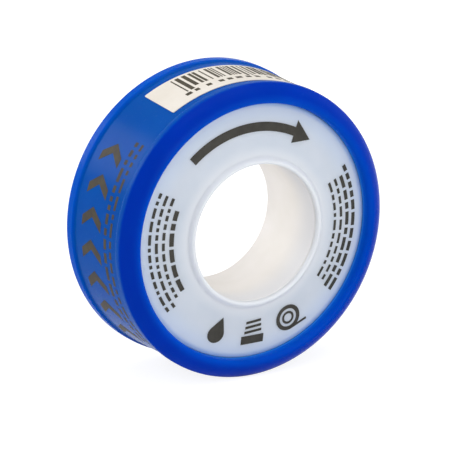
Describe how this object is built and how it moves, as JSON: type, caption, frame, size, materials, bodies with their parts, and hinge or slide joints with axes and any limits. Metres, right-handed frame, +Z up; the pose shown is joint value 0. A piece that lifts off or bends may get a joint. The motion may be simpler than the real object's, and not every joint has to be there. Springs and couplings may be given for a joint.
{
  "type": "thread seal tape roll",
  "caption": "Round plastic case with a wide bore, a dished white front disc and a recessed label channel, holding a spool of thread sealing tape that turns and pulls out of the cover.",
  "frame": {"origin": "on the floor under the middle of the roll, which stands on its two rims", "axes": "+Y along the roll's axis towards its rear, so the front disc faces -Y; +Z up; +X to the right as seen from the front"},
  "size_m": [0.054, 0.0208, 0.054],
  "materials": {
    "cover_plastic": "moulded polypropylene, satin gloss",
    "disc_plastic": "moulded polystyrene, satin gloss",
    "core_plastic": "moulded, matte",
    "seal_tape": "unsintered film, waxy matte",
    "label_paper": "coated paper"
  },
  "bodies": {
    "cover": {"cover": "cover_plastic", "barcode_label": "label_paper"},
    "disc": {"front_disc": "disc_plastic"},
    "spool": {"core_tube": "core_plastic", "tape_winding": "seal_tape"}
  },
  "joints": [
    {"name": "spool_pull", "type": "slide", "parent": "cover", "child": "disc", "axis": [0, -1, 0], "range_m": [0, 0.024]},
    {"name": "core_spin", "type": "hinge", "parent": "disc", "child": "spool", "pos_m": [0, 0, 0.027], "axis": [0, 1, 0], "continuous": true}
  ]
}
